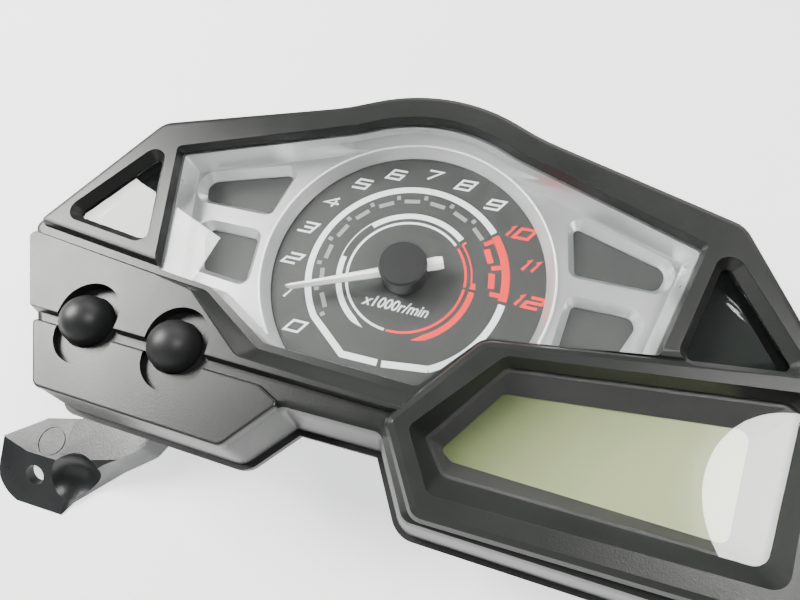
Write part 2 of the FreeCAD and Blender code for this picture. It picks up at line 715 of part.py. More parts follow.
feature("lcd_holder", displayHolder())
glassFoot = "Sizes.DialLevel + Sizes.GlassRise - Sizes.GlassThick"
stripFoot = "Sizes.DialLevel - Sizes.BoardDrop + %s" % seat
sketchPad("lcd_glass", [curves(glassOut)], glassFoot, "Sizes.GlassThick")
sketchPad("lcd_backlight", [curves(grow(displayGlassEdge, -0.1))],
          "%s - Sizes.BacklightThick - %s" % (glassFoot, seat), "Sizes.BacklightThick")
strip = [(34, -47.6, 0), (78, -48.7, 0), (78, -47.2, 0), (34, -46.0, 0)]
sketchPad("lcd_contact_strip", [curves(strip)], stripFoot, "%s - %s - (%s)" % (glassFoot, seat, stripFoot))
leds("lcd_leds", [(x, -36) for x in (38, 54, 70)])

# ---- side turn lights ----

ridge = [
    (-halfWidth + 14.3, -5.4, 0.2),
    (-halfWidth + 15.8, -5.6, 0.2),
    (-halfWidth + 24.4, 9.6, 0.2),
]
wellTop = dialLevel + 1
for side in ("left", "right"):
    facing = (lambda corners: corners) if side == "left" else mirrored
    window = facing(grow(sideWindow, 0.8))
    turnPrism = loft((window, wellTop + seat), (window, wellTop + 3), (facing(ridge), lensFoot - 1))
    feature(side + "_turn_prism", turnPrism)
    well = prism(facing(sideWindow), boardTop + seat, wellTop)
    feature(side + "_turn_well", well.cut(prism(facing(grow(sideWindow, -1.4)), boardTop, wellTop + 1)))
turnSpots = [(-halfWidth + 27, 0), (halfWidth - 27, 0)]
leds("turn_leds", turnSpots)

# ---- buttons: rubber dome, rod, and the switch on the board ----

buttonRadius = size("ButtonRadius")
domeMiddle = dialLevel + 12
flangeTop = deckFoot - size("ButtonGap")
flangeLow = flangeTop - 1.2
buttonWall = size("ButtonWall")
buttonCurve = math.radians(45)
boardLevel = "Sizes.DialLevel - Sizes.BoardDrop"
plungerTop = boardTop + size("SwitchTall") + size("ButtonTravel") + 0.6


def quarter(radius, level):
    """A quarter circle from the rim at level up to the axis."""
    middle = Vector(radius * math.cos(buttonCurve), level + radius * math.sin(buttonCurve), 0)
    return Part.Arc(Vector(radius, level, 0), middle, Vector(0, level + radius, 0))


def domeOutline():
    """Half of a hollow rubber dome with a flange at its foot."""
    inner, outer = buttonRadius - buttonWall, buttonRadius + 1.4
    edges = runs((0, domeMiddle + inner), (0, domeMiddle + buttonRadius))
    edges += [quarter(buttonRadius, domeMiddle), quarter(inner, domeMiddle)]
    return edges + runs((buttonRadius, domeMiddle), (buttonRadius, flangeTop), (outer, flangeTop),
                        (outer, flangeLow), (inner, flangeLow), (inner, domeMiddle))


def rodOutline():
    """Half of a button's rod with the plate that holds the rubber."""
    reach, stem = buttonRadius - buttonWall - 0.1, size("RodRadius")
    low = domeMiddle - 1.4
    return runs((0, plungerTop), (stem, plungerTop), (stem, low), (reach, low), (reach, domeMiddle),
                (0, domeMiddle), (0, plungerTop))


for name, (x, y) in buttonSpots.items():
    revolved(name + "_button", domeOutline(), x, y)
    revolved(name + "_rod", rodOutline(), x, y)
    case = block(name + "_switch_case", "Sizes.SwitchHalf", "Sizes.SwitchTall", boardLevel, x, y)
    well = cylinder(name + "_switch_well", "Sizes.PlungerRadius + 0.1", "Sizes.SwitchTall",
                    boardLevel + " + 0.3", x, y)
    named(cutAway(name + "_switch", case, well), name + "_switch")
    named(cylinder(name + "_plunger", "Sizes.PlungerRadius", "Sizes.SwitchTall + 0.2",
                   boardLevel + " + Sizes.ButtonTravel + 0.4", x, y), name + "_plunger")

# ---- rear case, seal, connector, vent and screws ----

housing = [
    (-60, -38, 6), (60, -38, 6), (64, -10, 8), (60, 22, 6),
    (27, dialRadius - 4, 8), (-27, dialRadius - 4, 8), (-60, 22, 6), (-64, -10, 8),
]
boltSpots = [(-halfWidth + 34, -37.6), (-halfWidth + 34, -45)]
bothBoltSpots = boltSpots + [(-x, y) for x, y in boltSpots]
socketX, socketLow, socketHigh = 16, 5, 19
socketInner, socketOuter = dialRadius - 11.6, dialRadius + 6.4


def rearCase():
    flangeReach = size("SkirtFlare") + size("FlangeLip")
    flange = prism(grow(coverEdge, flangeReach), caseTop - size("FlangeThick"), caseTop)
    tray = loft((grow(coverEdge, -2.0), trayLevel), (coverEdge, caseTop - size("FlangeThick")))
    deep = loft((grow(housing, -3), 0), (grow(housing, -2.2), 1.2), (housing, trayLevel + 0.5))
    shell = flange.fuse([tray, deep])
    cuts = [
        loft((grow(coverEdge, -2.0 - wall), trayFloor), (grow(coverEdge, -wall), caseTop + 0.1)),
        loft((grow(housing, -2.6 - wall), wall), (grow(housing, -wall), trayFloor + 0.5)),
        box(-socketX - seat, socketX + seat, socketInner, socketOuter + 5,
            socketLow - seat, socketHigh + seat),
    ]
    shell = shell.cut(cuts)
    bosses = [tube(3.6, trayFloor - 0.5, boardFoot - 0.5, x, y) for x, y in bothBoltSpots]
    bosses += [tube(size("PostRadius"), trayFloor - 0.5, caseTop, x, y) for x, y in postSpots]
    ribs = [box(x - 0.9, x + 0.9, -33, 28, trayFloor - 16, trayLevel - 4) for x in (-40, 40)]
    ribRoom = loft((grow(housing, -4), wall - 0.5), (grow(housing, -1.2), trayFloor))
    ribs = [rib.common(ribRoom) for rib in ribs]
    shell = shell.fuse(bosses + ribs)
    holes = [tube(size("ScrewRadius") + 0.2, trayLevel - 1, caseTop + 1, x, y) for x, y in postSpots]
    holes += [tube(size("ScrewRadius") + seat, trayLevel - 1, boardFoot - 1.2, x, y)
              for x, y in bothBoltSpots]
    holes.append(tube(1.2, trayLevel - 1, trayFloor + 1, *ventSpot))
    return shell.cut(holes)


def connectorHousing():
    body = box(-socketX, socketX, socketInner + seat, socketOuter, socketLow, socketHigh)
    body = body.cut(box(-socketX + 2, socketX - 2, socketInner + 6, socketOuter + 1,
                        socketLow + 2, socketHigh - 2))
    collar = box(-socketX - 2, socketX + 2, socketInner + 0.2, socketInner + 1.4,
                 socketLow - 1, socketHigh + 1)
    return body.fuse(collar.cut(box(-socketX, socketX, 0, 99, socketLow, socketHigh)))


def pinAt(x, z):
    pin = box(x - 0.4, x + 0.4, socketInner - 2, socketInner + 12, z - 0.4, z + 0.4)
    return pin.fuse(box(x - 0.4, x + 0.4, socketInner - 2.8, socketInner - 2, z - 0.4, boardFoot - seat))


ventSpot = (-halfWidth + 22, 0)
pins = [pinAt(-10 + 4 * k, z) for k in range(6) for z in (10.2,)]
pins += [pinAt(-8 + 4 * k, z) for k in range(5) for z in (13.8,)]
feature("rear_case", rearCase())
sketchPad("case_gasket", [curves(grow(coverEdge, 1.1)), curves(grow(coverEdge, -0.3))],
          "Sizes.DialLevel - Sizes.SplitDrop - Sizes.GasketThick", "Sizes.GasketThick")
feature("connector_housing", connectorHousing().cut(pins))
feature("connector_pins", Part.makeCompound(pins))
ventOuter = cylinder("vent_outer", "Sizes.VentRadius", "Sizes.VentTall",
                     "Sizes.TrayLevel - Sizes.VentTall", *ventSpot)
ventInner = cylinder("vent_inner", "Sizes.VentRadius - 1.4", "Sizes.VentTall",
                     "Sizes.TrayLevel - Sizes.VentTall + 1", *ventSpot)
named(cutAway("vent_cap", ventOuter, ventInner), "vent_cap")
feature("case_screws", Part.makeCompound(
    [machineScrew(x, y, trayLevel - 2.2, 3.2, 2.2, size("ScrewRadius"), caseTop + 9) for x, y in postSpots]))

# ---- mounting stays ----

stayTop = size("StayTop")
earLeft = -halfWidth - 15.2
armTop = [
    (earLeft, -61.6, 0.25), (-halfWidth + 3.3, -68.1, 1), (-halfWidth + 18, -71.2, 3),
    (-halfWidth + 28, -67.2, 3), (-halfWidth + 35, -62, 4), (-halfWidth + 39.2, -50, 4),
    (-halfWidth + 38.4, -34, 3), (-halfWidth + 27.2, -34, 3), (-halfWidth + 24.5, -50, 6),
    (-halfWidth + 9, -58.5, 4), (-halfWidth - 2.6, -60.8, 3),
]
armFoot = [
    (earLeft, -91, 0.25), (-halfWidth + 8.5, -90, 3), (-halfWidth + 12, -83.5, 2),
    (-halfWidth + 24.5, -70.5, 3), (-halfWidth + 33.5, -63, 4), (-halfWidth + 39.2, -50, 4),
    (-halfWidth + 38.4, -34, 3), (-halfWidth + 27.2, -34, 3), (-halfWidth + 24.5, -50, 6),
    (-halfWidth + 9, -58.5, 4), (-halfWidth - 3.4, -62.5, 4),
]
earSlope = math.atan2(10, 15.5)
earNormal = Vector(0, -math.sin(earSlope), math.cos(earSlope))
foldSpot = Vector(0, -72.5, 10)
earHole = Vector(-halfWidth - 1.0, -78.7, 6)
earPlace = Placement(foldSpot, Rotation(Vector(1, 0, 0), math.degrees(earSlope)))
scoopSpot, scoopRadius = Vector(-halfWidth + 14.5, -79.5, 12.5), 11
levelX, risenX = -halfWidth + 7, -halfWidth + 31


def alongEar(profile, low, high):
    """A prism square to the ear's face, with its heights measured out of that face."""
    piece = prism(profile, low, high)
    piece.Placement = earPlace
    return piece


def underSlope(drop):
    """All that lies under the arm's top, which is level at the ear and then rises, moved down by drop."""
    high, low = stayTop - drop, size("EarTop") - drop
    side = [Vector(-200, -200, -50), Vector(0, -200, -50), Vector(0, -200, high), Vector(risenX, -200, high),
            Vector(levelX, -200, low), Vector(-200, -200, low), Vector(-200, -200, -50)]
    return Part.Face(Part.makePolygon(side)).extrude(Vector(0, 400, 0))


def stay():
    thick = size("StayWall")
    earEnd = alongEar([(earLeft, 70, 0), (earLeft, -19.2, 12), (0, -19.2, 0), (0, 70, 0)], -90, 0)
    arm = loft((armFoot, 0), (armTop, stayTop)).common([underSlope(0)]).common(earEnd)
    arm = arm.cut(Part.makeSphere(scoopRadius, scoopSpot))
    inner = loft((grow(armFoot, -thick * 0.8), -thick), (grow(armTop, -thick * 0.8), stayTop - thick))
    inner = inner.common([underSlope(thick + 0.2)])
    inner = inner.common(box(-300, -halfWidth + 24, -300, 300, -9, stayTop))
    hollowEnd = alongEar([(earLeft + thick, 70, 0), (earLeft + thick, -17.5, 10), (0, -17.5, 0), (0, 70, 0)],
                         -90, -size("EarThick"))
    inner = inner.common(hollowEnd).cut(Part.makeSphere(scoopRadius + thick * 0.8, scoopSpot))
    arm = arm.cut(inner)
    pad = prism(rectangle(-halfWidth + 30, -halfWidth + 38, -48.4, -34.4, 2), stayTop - 0.5, trayLevel - seat)
    markSpot, markRadius, markDeep = (-halfWidth + 2.4, -67.6), 4.6, 0.25
    mark = tube(markRadius, size("EarTop") - markDeep, stayTop, *markSpot)
    mark = mark.cut(tube(markRadius - 0.4, 0, stayTop + 1, *markSpot))
    holes = [Part.makeCylinder(size("StayHole"), 24, earHole - earNormal * 12, earNormal), mark]
    for x, y in boltSpots:
        holes.append(tube(size("ScrewRadius") + 0.2, -1, trayLevel + 1, x, y))
        holes.append(tube(3.5, -1, stayTop - 1.5, x, y))
    return arm.fuse(pad).cut(holes)


def across(shape):
    return shape.mirror(Vector(0, 0, 0), Vector(1, 0, 0))


feature("left_stay", stay())
feature("right_stay", across(stay()))
feature("stay_screws", Part.makeCompound(
    [machineScrew(x, y, stayTop - 1.5 - 2.2, 3.1, 2.2, size("ScrewRadius"), boardFoot - 1.6)
     for x, y in bothBoltSpots]))

# ---- checks and export ----

doc.recompute()
for item in doc.Objects:
    if "Invalid" in item.State or "Error" in item.State:
        raise RuntimeError("%s failed: %s" % (item.Label, item.State))
for name, piece in parts.items():
    if piece.Shape.isNull() or not piece.Shape.isValid() or not piece.Shape.Solids:
        raise RuntimeError("%s has no valid solid" % name)
os.makedirs("parts", exist_ok=True)
for name, piece in parts.items():
    piece.Shape.exportStep("parts/%s.step" % name)
    extent = piece.Shape.BoundBox
    print("%-18s %2d solid %9.1f mm3  z %.1f to %.1f" % (
        name, len(piece.Shape.Solids), piece.Shape.Volume, extent.ZMin, extent.ZMax))
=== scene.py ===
# Motorcycle instrument cluster: the looks round the CAD frame.
# The scene is in metres, +X right, +Y up the face and +Z out of it; the values below are in mm.
import json
import math

import bpy
from mathutils import Matrix, Vector


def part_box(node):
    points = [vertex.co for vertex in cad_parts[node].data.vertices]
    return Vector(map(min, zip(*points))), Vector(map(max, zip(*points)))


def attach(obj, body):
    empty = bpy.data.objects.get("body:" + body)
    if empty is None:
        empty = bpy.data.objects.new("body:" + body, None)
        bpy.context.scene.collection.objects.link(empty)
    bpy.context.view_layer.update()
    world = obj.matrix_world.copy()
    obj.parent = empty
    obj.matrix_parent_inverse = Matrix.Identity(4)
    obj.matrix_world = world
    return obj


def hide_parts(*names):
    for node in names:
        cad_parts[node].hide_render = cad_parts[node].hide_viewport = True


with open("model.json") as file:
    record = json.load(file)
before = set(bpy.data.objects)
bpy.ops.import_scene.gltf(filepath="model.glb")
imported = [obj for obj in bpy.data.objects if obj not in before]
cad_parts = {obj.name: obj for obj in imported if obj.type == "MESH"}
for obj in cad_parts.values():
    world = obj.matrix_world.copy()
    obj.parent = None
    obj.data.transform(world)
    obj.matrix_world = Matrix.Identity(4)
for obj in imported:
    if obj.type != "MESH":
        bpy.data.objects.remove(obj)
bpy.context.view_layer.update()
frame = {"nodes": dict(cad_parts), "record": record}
nodes = frame["nodes"]
bodies = frame["record"]["behaviour"]["bodies"]
bodyOf = {node: body for body, members in bodies.items() for node in members}
slotOf = {row["node"]: row["material_slot"] for row in frame["record"]["subparts"]}
mm = 0.001
print("frame loaded", len(nodes), "nodes")

# camera, lights and floor
shot = {
    "place": Vector((33.6, -62.5, 193.9)) * mm,
    "forward": Vector((-0.20095, 0.33491, -0.92057)),
    "up": Vector((-0.21425, 0.90196, 0.37491)),
    "lens": 27.6,
    "shiftY": 0.00125,
    "clipStart": 0.005,
}


def addCamera():
    data = bpy.data.cameras.new("shotCamera")
    data.lens = shot["lens"]
    data.shift_y = shot["shiftY"]
    data.clip_start = shot["clipStart"]
    camera = bpy.data.objects.new("shotCamera", data)
    bpy.context.scene.collection.objects.link(camera)
    back = -shot["forward"].normalized()
    right = shot["up"].cross(back).normalized()
    up = back.cross(right)
    turn = Matrix((right, up, back)).transposed()
    camera.matrix_world = Matrix.Translation(shot["place"]) @ turn.to_4x4()
    bpy.context.scene.camera = camera


# in metres and watts
softboxes = {
    "leftSoftbox": {
        "place": (-0.61, 0.11, 0.60), "aim": (-0.05, 0.0, 0.05), "size": (0.38, 0.36), "power": 15.0},
    "rightSoftbox": {
        "place": (0.335, 0.060, 0.60), "aim": (0.06, -0.02, 0.05), "size": (0.20, 0.17), "power": 2.6},
    "backSoftbox": {
        "place": (0.15, 1.0, 0.70), "aim": (0.0, 0.0, 0.05), "size": (1.3, 0.4), "power": 7.0},
    "frontFill": {
        "place": (-0.10, -1.0, 0.50), "aim": (0.0, 0.0, 0.03), "size": (1.2, 0.5), "power": 2.0},
}
room = {"lampColour": (1.0, 0.99, 0.97), "airColour": (0.92, 0.97, 1.0), "airStrength": 0.10}


def addLights():
    for name, box in softboxes.items():
        data = bpy.data.lights.new(name, "AREA")
        data.shape = "ELLIPSE" if name == "rightSoftbox" else "RECTANGLE"
        data.size, data.size_y = box["size"]
        data.energy = box["power"]
        data.color = room["lampColour"]
        light = bpy.data.objects.new(name, data)
        bpy.context.scene.collection.objects.link(light)
        light.location = box["place"]
        away = Vector(box["place"]) - Vector(box["aim"])
        light.rotation_mode = "QUATERNION"
        light.rotation_quaternion = away.to_track_quat("Z", "Y")
    world = bpy.data.worlds.new("studio")
    world.use_nodes = True
    backdrop = world.node_tree.nodes["Background"]
    backdrop.inputs["Color"].default_value = (*room["airColour"], 1)
    backdrop.inputs["Strength"].default_value = room["airStrength"]
    bpy.context.scene.world = world


# shader node groups and finishes
def newGroup(name, inputs, outputs):
    group = bpy.data.node_groups.new(name, "ShaderNodeTree")
    for label, value in inputs:
        socket = group.interface.new_socket(label, in_out="INPUT", socket_type="NodeSocketFloat")
        socket.default_value = value
    for label in outputs:
        group.interface.new_socket(label, in_out="OUTPUT", socket_type="NodeSocketFloat")
    start = group.nodes.new("NodeGroupInput")
    end = group.nodes.new("NodeGroupOutput")
    return group, start, end


def mathNode(tree, operation, first, second, clamp=False):
    node = tree.nodes.new("ShaderNodeMath")
    node.operation = operation
    node.use_clamp = clamp
    for socket, value in zip(node.inputs, (first, second)):
        if isinstance(value, (int, float)):
            socket.default_value = value
        else:
            tree.links.new(value, socket)
    return node.outputs[0]


def noiseNode(tree, coordinates, scale, detail=2.0, roughness=0.5):
    node = tree.nodes.new("ShaderNodeTexNoise")
    tree.links.new(coordinates, node.inputs["Vector"])
    if isinstance(scale, (int, float)):
        node.inputs["Scale"].default_value = scale
    else:
        tree.links.new(scale, node.inputs["Scale"])
    node.inputs["Detail"].default_value = detail
    node.inputs["Roughness"].default_value = roughness
    return node.outputs["Fac"]


grainMaking = {"scale": 3000.0, "depth": 0.5, "blotchScale": 40.0, "cellShare": 0.8}
# radius in mm, amount, gain and break-up scale of the painted edge highlight
edgeSheenMaking = {"radius": 0.4, "amount": 1.0, "gain": 5.0, "breakUp": 260.0}


# Moulded or sprayed grain: a height, and a slow blotch for colour and gloss.
def makeGrain():
    inputs = [("Scale", grainMaking["scale"]), ("Depth", grainMaking["depth"]),
              ("BlotchScale", grainMaking["blotchScale"])]
    group, start, end = newGroup("surfaceGrain", inputs, ["Height", "Blotch"])
    coordinates = group.nodes.new("ShaderNodeTexCoord").outputs["Object"]
    fine = noiseNode(group, coordinates, start.outputs["Scale"], 3.0, 0.6)
    cells = group.nodes.new("ShaderNodeTexVoronoi")
    cells.feature = "SMOOTH_F1"
    group.links.new(coordinates, cells.inputs["Vector"])
    group.links.new(start.outputs["Scale"], cells.inputs["Scale"])
    cellHeight = mathNode(group, "MULTIPLY", cells.outputs["Distance"], grainMaking["cellShare"])
    mixed = mathNode(group, "ADD", fine, cellHeight)
    group.links.new(mathNode(group, "MULTIPLY", mixed, start.outputs["Depth"]), end.inputs["Height"])
    blotch = noiseNode(group, coordinates, start.outputs["BlotchScale"], 4.0, 0.65)
    group.links.new(blotch, end.inputs["Blotch"])
    return group


# Painted edge highlight mask: 1 along convex edges, broken up by noise, and 0 on flats.
def makeWear():
    inputs = [("Radius", edgeSheenMaking["radius"] * mm), ("Amount", edgeSheenMaking["amount"])]
    group, start, end = newGroup("paintedEdgeSheen", inputs, ["Mask"])
    soft = group.nodes.new("ShaderNodeBevel")
    soft.samples = 4
    group.links.new(start.outputs["Radius"], soft.inputs["Radius"])
    shape = group.nodes.new("ShaderNodeNewGeometry")
    dot = group.nodes.new("ShaderNodeVectorMath")
    dot.operation = "DOT_PRODUCT"
    group.links.new(soft.outputs["Normal"], dot.inputs[0])
    group.links.new(shape.outputs["Normal"], dot.inputs[1])
    away = mathNode(group, "SUBTRACT", 1.0, dot.outputs["Value"])
    bend = mathNode(group, "MULTIPLY", away, edgeSheenMaking["gain"], True)
    coordinates = group.nodes.new("ShaderNodeTexCoord").outputs["Object"]
    broken = mathNode(group, "MULTIPLY", bend, noiseNode(group, coordinates, edgeSheenMaking["breakUp"], 4.0))
    group.links.new(mathNode(group, "MULTIPLY", broken, start.outputs["Amount"]), end.inputs["Mask"])
    return group


grainGroup = makeGrain()
edgeSheenGroup = makeWear()

# what every grained finish shares, the paler edge colour being a painted edge highlight; blotch is the
# part of the noise that the gloss follows
blend = {"sheenEdgeColour": (0.09, 0.092, 0.09), "blotch": (0.3, 0.7), "bumpStrength": 0.6, "bumpHeight": 0.1}

# gloss is the roughness at the glossiest and the dullest blotch, grain is in grains per metre, and the
# last key is how strong the painted edge highlight is
finishes = {
    "cover_plastic": {
        "colour": (0.012, 0.0135, 0.0125), "paler": (0.019, 0.021, 0.0195), "gloss": (0.31, 0.40),
        "metallic": 0, "grain": 2600, "depth": 0.35, "edgeSheen": 0.3},
    "rear_plastic": {
        "colour": (0.013, 0.013, 0.014), "paler": (0.02, 0.02, 0.021), "gloss": (0.42, 0.55),
        "metallic": 0, "grain": 2200, "depth": 0.3, "edgeSheen": 0.3},
    "stay_plastic": {
        "colour": (0.011, 0.012, 0.013), "paler": (0.018, 0.019, 0.02), "gloss": (0.26, 0.38),
        "metallic": 0, "grain": 2400, "depth": 0.4, "edgeSheen": 0.3},
    "silver_paint": {
        "colour": (0.66, 0.67, 0.68), "paler": (0.72, 0.73, 0.74), "gloss": (0.27, 0.33),
        "metallic": 0.85, "grain": 5200, "depth": 0.03, "edgeSheen": 0.0},
    "dial_print": {
        "colour": (0.013, 0.015, 0.014), "paler": (0.030, 0.033, 0.032), "gloss": (0.5, 0.6),
        "metallic": 0, "grain": 4200, "depth": 0.25, "edgeSheen": 0.0},
    "diffuser": {
        "colour": (0.75, 0.78, 0.76), "paler": (0.8, 0.83, 0.81), "gloss": (0.4, 0.5),
        "metallic": 0, "grain": 2000, "depth": 0.05, "edgeSheen": 0.0},
    "white_plastic": {
        "colour": (0.70, 0.70, 0.67), "paler": (0.76, 0.76, 0.73), "gloss": (0.4, 0.5),
        "metallic": 0, "grain": 2500, "depth": 0.08, "edgeSheen": 0.0},
    "board": {
        "colour": (0.012, 0.09, 0.035), "paler": (0.02, 0.12, 0.05), "gloss": (0.25, 0.38),
        "metallic": 0, "grain": 900, "depth": 0.05, "edgeSheen": 0.0},
    "led": {
        "colour": (0.78, 0.72, 0.38), "paler": (0.85, 0.8, 0.5), "gloss": (0.35, 0.45),
        "metallic": 0, "grain": 3000, "depth": 0.05, "edgeSheen": 0.0},
    "screw_steel": {
        "colour": (0.46, 0.46, 0.45), "paler": (0.56, 0.56, 0.57), "gloss": (0.25, 0.4),
        "metallic": 1, "grain": 3800, "depth": 0.12, "edgeSheen": 0.0},
    "component_black": {
        "colour": (0.015, 0.015, 0.015), "paler": (0.022, 0.022, 0.023), "gloss": (0.45, 0.6),
        "metallic": 0, "grain": 3000, "depth": 0.15, "edgeSheen": 0.0},
    "capacitor_can": {
        "colour": (0.62, 0.62, 0.64), "paler": (0.7, 0.7, 0.72), "gloss": (0.2, 0.32),
        "metallic": 1, "grain": 3000, "depth": 0.04, "edgeSheen": 0.0},
    "gear_white": {
        "colour": (0.74, 0.73, 0.67), "paler": (0.8, 0.79, 0.74), "gloss": (0.32, 0.42),
        "metallic": 0, "grain": 2500, "depth": 0.05, "edgeSheen": 0.0},
    "magnet": {
        "colour": (0.06, 0.06, 0.065), "paler": (0.1, 0.1, 0.11), "gloss": (0.35, 0.5),
        "metallic": 1, "grain": 2600, "depth": 0.15, "edgeSheen": 0.0},
    "stator_steel": {
        "colour": (0.38, 0.38, 0.39), "paler": (0.48, 0.48, 0.49), "gloss": (0.3, 0.45),
        "metallic": 1, "grain": 3000, "depth": 0.1, "edgeSheen": 0.0},
    "prism_smoke": {
        "colour": (0.008, 0.010, 0.009), "paler": (0.012, 0.014, 0.013), "gloss": (0.04, 0.09),
        "metallic": 0, "grain": 2000, "depth": 0.02, "edgeSheen": 0.0},
    "copper": {
        "colour": (0.62, 0.28, 0.13), "paler": (0.74, 0.36, 0.18), "gloss": (0.22, 0.34),
        "metallic": 1, "grain": 2800, "depth": 0.2, "edgeSheen": 0.0},
    "cap_black": {
        "colour": (0.010, 0.010, 0.011), "paler": (0.015, 0.015, 0.016), "gloss": (0.3, 0.38),
        "metallic": 0, "grain": 4200, "depth": 0.12, "edgeSheen": 0.0},
    "rubber": {
        "colour": (0.013, 0.014, 0.014), "paler": (0.02, 0.021, 0.021), "gloss": (0.42, 0.52),
        "metallic": 0, "grain": 3400, "depth": 0.12, "edgeSheen": 0.0},
    "pin_brass": {
        "colour": (0.68, 0.55, 0.34), "paler": (0.75, 0.62, 0.4), "gloss": (0.22, 0.32),
        "metallic": 1, "grain": 3000, "depth": 0.05, "edgeSheen": 0.0},
    "inkWhite": {
        "colour": (0.66, 0.70, 0.73), "paler": (0.72, 0.76, 0.79), "gloss": (0.45, 0.55),
        "metallic": 0, "grain": 5000, "depth": 0.1, "edgeSheen": 0},
    "inkRed": {
        "colour": (0.60, 0.008, 0.006), "paler": (0.68, 0.012, 0.009), "gloss": (0.45, 0.55),
        "metallic": 0, "grain": 5000, "depth": 0.1, "edgeSheen": 0},
    "inkGrey": {
        "colour": (0.20, 0.21, 0.205), "paler": (0.23, 0.24, 0.235), "gloss": (0.5, 0.6),
        "metallic": 0, "grain": 5000, "depth": 0.1, "edgeSheen": 0},
    # brighter silver for the painted highlight ring on the bezel
    "paintedHighlightSilver": {
        "colour": (0.9, 0.91, 0.92), "paler": (0.95, 0.95, 0.96), "gloss": (0.14, 0.2),
        "metallic": 0.25, "grain": 5200, "depth": 0.02, "edgeSheen": 0},
}


def grainedMaterial(name, finish):
    mat = bpy.data.materials.new(name)
    mat.use_nodes = True
    tree = mat.node_tree
    shader = tree.nodes["Principled BSDF"]
    shader.inputs["Metallic"].default_value = finish["metallic"]
    grain = tree.nodes.new("ShaderNodeGroup")
    grain.node_tree = grainGroup
    grain.inputs["Scale"].default_value = finish["grain"]
    grain.inputs["Depth"].default_value = finish["depth"]
    tint = tree.nodes.new("ShaderNodeMix")
    tint.data_type = "RGBA"
    tint.inputs["A"].default_value = (*finish["colour"], 1)
    tint.inputs["B"].default_value = (*finish["paler"], 1)
    tree.links.new(grain.outputs["Blotch"], tint.inputs["Factor"])
    shade = tint.outputs["Result"]
    # painted edge highlight: a paler colour mixed in along the edges
    if finish["edgeSheen"]:
        edges = tree.nodes.new("ShaderNodeGroup")
        edges.node_tree = edgeSheenGroup
        edges.inputs["Amount"].default_value = finish["edgeSheen"]
        sheenMix = tree.nodes.new("ShaderNodeMix")
        sheenMix.data_type = "RGBA"
        sheenMix.inputs["B"].default_value = (*blend["sheenEdgeColour"], 1)
        tree.links.new(edges.outputs["Mask"], sheenMix.inputs["Factor"])
        tree.links.new(shade, sheenMix.inputs["A"])
        shade = sheenMix.outputs["Result"]
    tree.links.new(shade, shader.inputs["Base Color"])
    spread = tree.nodes.new("ShaderNodeMapRange")
    spread.inputs["From Min"].default_value, spread.inputs["From Max"].default_value = blend["blotch"]
    spread.inputs["To Min"].default_value, spread.inputs["To Max"].default_value = finish["gloss"]
    tree.links.new(grain.outputs["Blotch"], spread.inputs["Value"])
    tree.links.new(spread.outputs["Result"], shader.inputs["Roughness"])
    bump = tree.nodes.new("ShaderNodeBump")
    bump.inputs["Strength"].default_value = blend["bumpStrength"]
    bump.inputs["Distance"].default_value = blend["bumpHeight"] * mm
    tree.links.new(grain.outputs["Height"], bump.inputs["Height"])
    tree.links.new(bump.outputs["Normal"], shader.inputs["Normal"])
    return mat


# A clear material whose shadow rays pass, so that lamps light what is behind it.
def letLampsThrough(mat, tint):
    tree = mat.node_tree
    shader = tree.nodes["Principled BSDF"]
    clear = tree.nodes.new("ShaderNodeBsdfTransparent")
    clear.inputs["Color"].default_value = (*tint, 1)
    rays = tree.nodes.new("ShaderNodeLightPath")
    mix = tree.nodes.new("ShaderNodeMixShader")
    tree.links.new(rays.outputs["Is Shadow Ray"], mix.inputs["Fac"])
    tree.links.new(shader.outputs["BSDF"], mix.inputs[1])
    tree.links.new(clear.outputs["BSDF"], mix.inputs[2])
    tree.links.new(mix.outputs["Shader"], tree.nodes["Material Output"].inputs["Surface"])


lensPlastic = {"colour": (0.985, 0.99, 0.985), "roughness": (0.0, 0.01), "index": 1.49, "smearScale": 25}


# Clear moulded plastic with faint smears in its gloss.
def clearMaterial():
    mat = bpy.data.materials.new("clear_lens")
    mat.use_nodes = True
    tree = mat.node_tree
    shader = tree.nodes["Principled BSDF"]
    shader.inputs["Base Color"].default_value = (*lensPlastic["colour"], 1)
    shader.inputs["Transmission Weight"].default_value = 1
    shader.inputs["IOR"].default_value = lensPlastic["index"]
    grain = tree.nodes.new("ShaderNodeGroup")
    grain.node_tree = grainGroup
    grain.inputs["BlotchScale"].default_value = lensPlastic["smearScale"]
    spread = tree.nodes.new("ShaderNodeMapRange")
    spread.inputs["To Min"].default_value, spread.inputs["To Max"].default_value = lensPlastic["roughness"]
    tree.links.new(grain.outputs["Blotch"], spread.inputs["Value"])
    tree.links.new(spread.outputs["Result"], shader.inputs["Roughness"])
    letLampsThrough(mat, lensPlastic["colour"])
    return mat


pointerAcrylic = {
    "colour": (0.86, 0.86, 0.84), "paler": (0.93, 0.93, 0.92), "gloss": (0.12, 0.2),
    "metallic": 0, "grain": 1500, "depth": 0.03, "edgeSheen": 0,
    "milkiness": 0.35, "milkDepth": (1.2, 1.2, 1.1), "coat": 0.6,
}


# Milky moulded acrylic.
def pointerMaterial():
    mat = grainedMaterial("pointer_white", pointerAcrylic)
    shader = mat.node_tree.nodes["Principled BSDF"]
    shader.inputs["Subsurface Weight"].default_value = pointerAcrylic["milkiness"]
    shader.inputs["Subsurface Radius"].default_value = [deep * mm for deep in pointerAcrylic["milkDepth"]]
    shader.inputs["Coat Weight"].default_value = pointerAcrylic["coat"]
    return mat


displayTone = {
    "dark": (0.045, 0.062, 0.018), "sheenPale": (0.25, 0.28, 0.15), "gloss": (0.10, 0.16),
    "sheenTurn": -35, "sheenLength": 52,
}
